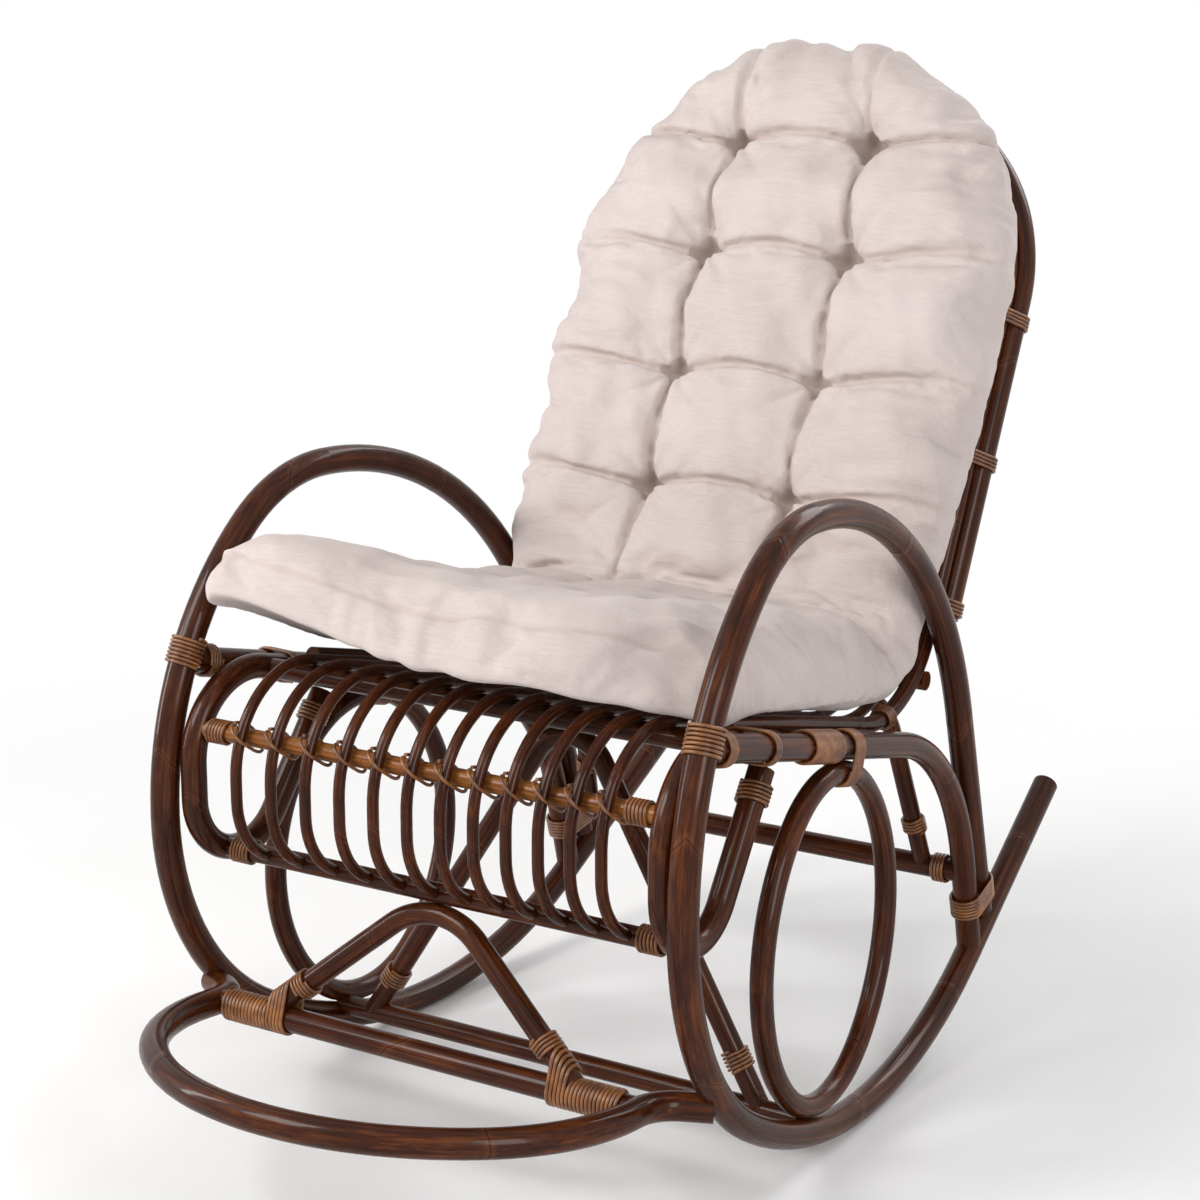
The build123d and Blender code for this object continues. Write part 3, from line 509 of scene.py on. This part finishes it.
def blow_up(pad, points, hold):
    """Fill the pad like a pillow, held where it is sewn and along its underside."""
    group = pad.vertex_groups.new(name="hold")
    for number in np.nonzero(hold > 0.02)[0]:
        group.add([int(number)], float(hold[number]), "REPLACE")
    cloth = pad.modifiers.new("cloth", "CLOTH")
    cloth.point_cache.frame_start = 1
    cloth.point_cache.frame_end = SIM_FRAMES
    for name, value in CLOTH.items():
        setattr(cloth.settings, name, value)
    cloth.settings.effector_weights.gravity = 0
    cloth.settings.vertex_group_mass = "hold"
    cloth.collision_settings.use_collision = False
    for number in range(1, SIM_FRAMES + 1):
        scene.frame_set(number)
    blown = bpy.data.meshes.new_from_object(pad.evaluated_get(bpy.context.evaluated_depsgraph_get()))
    moved = points_of(blown) - points
    bpy.data.meshes.remove(blown)
    pad.modifiers.clear()
    pad.vertex_groups.clear()
    scene.frame_set(1)
    far = np.linalg.norm(moved, axis=1, keepdims=True)
    set_points(pad.data, points + moved * np.minimum(1, MOST_MOVE / np.maximum(far, 1e-9)))


def work_surface(pad):
    """Folds, seam, pleats, gathers and lumps on a finer mesh, with the folds, tufts and seam kept as a
    mask for painted shade in the colour.
    """
    finer = pad.modifiers.new("finer", "SUBSURF")
    finer.levels = finer.render_levels = 1
    baked(pad)
    points = points_of(pad.data)
    x, along, high = (values_of(pad.data, name) for name in ("across", "along", "high"))
    sharp, _, tuft = creases(x, along, high)
    front = 1 - smoothstep(SEAT_FRONT + 0.01, SEAT_FRONT + 0.035, along)
    seam = ridge(high - (SEAM_HIGH + SEAM_WAVE * np.sin(x * 6)), SEAM_WIDTH) * front
    deep = FOLD_DEPTH * sharp + TUFT_DEPTH * tuft**2 + SEAM_DEPTH * seam
    shape = fan_wrinkles(x, along, high) + edge_gathers(x, along, high) - deep
    shape += soft_lumps(x, along) * smoothstep(0.015, 0.05, high)
    points = points + normals_of(pad.data) * shape[:, None]
    lip = smoothstep(0.240, 0.252, np.abs(x)) * (1 - smoothstep(0.02, 0.06, high))
    points[:, 2] -= EDGE_DROOP * (lip * (1 - smoothstep(-0.05, 0.0, along)))
    set_points(pad.data, points)
    # Painted shade mask: how much the cloth colour darkens in the folds, tufts and seam groove
    keep_values(pad.data, fold=np.clip(0.55 * sharp**2 + 0.5 * tuft**2 + 0.45 * seam, 0, 1))


def make_cushion():
    pad = even_mesh(NODES["cushion"])
    points = points_of(pad.data)
    x, along, high = pad_place(points)
    sharp, broad, tuft = creases(x, along, high)
    points += normals_of(pad.data) * (CHANNEL_FILL * broad - TUFT_PULL * tuft)[:, None]
    bend_corners(points, x, along)
    set_points(pad.data, points)
    keep_values(pad.data, across=x, along=along, high=high)
    sewn = np.clip(np.maximum(1.2 * tuft, 0.8 * sharp), 0, 1)
    blow_up(pad, points, np.maximum(sewn, 1 - smoothstep(0.004, 0.016, high)))
    work_surface(pad)
    pad.data.materials.append(cotton)
    pad.data.shade_smooth()
    return pad


pad = make_cushion()
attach(pad, "cushion")
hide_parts("cushion")


# Binding that closes the front brace's feet to the stretcher

def belt_point(angle, low_at, leg_at, leg_size):
    """Where a strand pulled tight round a stretcher and a slanting brace lies, in one upright plane."""
    up = (leg_at - low_at) / np.linalg.norm(leg_at - low_at)
    side = np.array([-up[1], up[0]])
    u, v = math.cos(angle), math.sin(angle)
    way = up * u + side * v
    low = low_at + way * (STRETCHER_R + STRAND_R)
    across, along = leg_size
    leg = leg_at + (up * along**2 * u + side * across**2 * v) / math.hypot(along * u, across * v)
    return leg if leg @ way > low @ way else low


def wound_strand(mirror):
    """Points of one strand, from the stretcher's end up to where the brace parts from the stretcher."""
    foot, top = np.array(BRACE_FOOT), np.array(BRACE_TOP)
    run = top - foot
    leg_size = (BRACE_R + STRAND_R, BRACE_R * np.linalg.norm(run) / abs(run[0]) + STRAND_R)
    points = []
    for share in np.linspace(0, 1, BINDING_TURNS * BINDING_STEPS):
        x = BINDING_REACH[0] + (BINDING_REACH[1] - BINDING_REACH[0]) * share
        angle = 2 * math.pi * BINDING_TURNS * share
        if x > foot[0] - BRACE_R:
            spot = foot[1:] + np.array([-math.sin(angle), math.cos(angle)]) * (STRETCHER_R + STRAND_R)
        else:
            leg = foot + run * ((x - foot[0]) / run[0])
            spot = belt_point(angle, foot[1:], leg[1:], leg_size)
        points.append((mirror * x, *spot, 1))
    return np.array(points, np.float32)


def make_binding():
    line = bpy.data.curves.new("binding_line", "CURVE")
    line.dimensions = "3D"
    line.bevel_depth = STRAND_R
    line.bevel_resolution = 2
    line.use_fill_caps = True
    for mirror in (1, -1):
        points = wound_strand(mirror)
        spline = line.splines.new("POLY")
        spline.points.add(len(points) - 1)
        spline.points.foreach_set("co", points.ravel())
    rough = bpy.data.objects.new("binding_line", line)
    scene.collection.objects.link(rough)
    mesh = bpy.data.meshes.new_from_object(rough.evaluated_get(bpy.context.evaluated_depsgraph_get()))
    bpy.data.objects.remove(rough)
    mesh.materials.clear()
    mesh.materials.append(cane)
    mesh.shade_smooth()
    binding = bpy.data.objects.new("front_foot_bindings", mesh)
    scene.collection.objects.link(binding)
    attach(binding, "frame")
    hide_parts("stretcher_wraps")


make_binding()


# Floor, light and camera

def background_rays(tree):
    """1 for rays that see the background itself, straight from the camera or in a shine."""
    path = tree.nodes.new("ShaderNodeLightPath")
    seen = path.outputs["Is Camera Ray"]
    for kind in ("Is Glossy Ray", "Is Transmission Ray"):
        either = tree.nodes.new("ShaderNodeMath")
        either.operation = "MAXIMUM"
        tree.links.new(seen, either.inputs[0])
        tree.links.new(path.outputs[kind], either.inputs[1])
        seen = either.outputs[0]
    return seen


def studio_floor(name, colour, clear, white):
    """Pale floor that keeps the shadow near the chair and turns into the white backdrop further out."""
    s = Shader(name)
    tone = s.noise(s.place, 3.0, 2)
    lighter = tuple(min(1, c * 1.02) for c in colour)
    s.link(s.ramp(tone, ((0.3, colour), (0.7, lighter))), s.surface.inputs["Base Color"])
    s.surface.inputs["Roughness"].default_value = 0.8
    reach = s.node("ShaderNodeVectorMath", operation="LENGTH")
    s.link(s.place, reach.inputs[0])
    glow = s.node("ShaderNodeEmission")
    glow.inputs["Color"].default_value = (1, 1, 1, 1)
    mix = s.node("ShaderNodeMixShader")
    away = s.span(reach.outputs["Value"], clear, white)
    s.link(s.math("MULTIPLY", away, background_rays(s.tree)), mix.inputs[0])
    s.link(s.surface.outputs[0], mix.inputs[1])
    s.link(glow.outputs[0], mix.inputs[2])
    s.link(mix.outputs[0], s.tree.nodes["Material Output"].inputs["Surface"])
    return s.material


bpy.ops.mesh.primitive_plane_add(size=30, location=(0, 0, 0))
floor = bpy.context.object
floor.name = "floor"
floor.data.materials.append(studio_floor("floor_pale", FLOOR_PALE, FLOOR_CLEAR, FLOOR_WHITE))


def aim(obj, at, target):
    obj.location = at
    obj.rotation_euler = (Vector(target) - Vector(at)).to_track_quat("-Z", "Y").to_euler()


def area_light(name, at, target, size, power, colour=(1, 1, 1)):
    lamp = bpy.data.lights.new(name, "AREA")
    lamp.shape = "RECTANGLE"
    lamp.size, lamp.size_y = size
    lamp.energy = power
    lamp.color = colour
    obj = bpy.data.objects.new(name, lamp)
    scene.collection.objects.link(obj)
    aim(obj, at, target)


area_light("key", (-1.5, -2.6, 2.7), (0, 0, 0.5), (1.5, 1.5), 84, (1.0, 0.985, 0.97))
area_light("fill", (2.8, -1.6, 1.7), (0, 0, 0.5), (1.2, 1.8), 46, (0.98, 0.99, 1.0))
area_light("strip", (-2.4, -1.3, 1.3), (0, 0, 0.5), (0.25, 1.9), 26)
area_light("rear", (0.6, 2.6, 2.4), (0, 0, 0.6), (2.2, 1.2), 46)

world = bpy.data.worlds.new("studio")
scene.world = world
world.use_nodes = True
sky = world.node_tree
ambient = sky.nodes["Background"]
ambient.inputs["Color"].default_value = (1.0, 0.99, 0.98, 1)
ambient.inputs["Strength"].default_value = AMBIENT
backdrop = sky.nodes.new("ShaderNodeBackground")
backdrop.inputs["Color"].default_value = (1, 1, 1, 1)
backdrop.inputs["Strength"].default_value = 1.0
sky_mix = sky.nodes.new("ShaderNodeMixShader")
sky.links.new(background_rays(sky), sky_mix.inputs[0])
sky.links.new(ambient.outputs[0], sky_mix.inputs[1])
sky.links.new(backdrop.outputs[0], sky_mix.inputs[2])
sky.links.new(sky_mix.outputs[0], sky.nodes["World Output"].inputs["Surface"])

camera = bpy.data.cameras.new("camera")
camera.lens = LENS
camera.sensor_width = SENSOR
camera_obj = bpy.data.objects.new("camera", camera)
scene.collection.objects.link(camera_obj)
aim(camera_obj, CAMERA_AT, CAMERA_TARGET)
scene.camera = camera_obj
scene.view_settings.view_transform = "Standard"
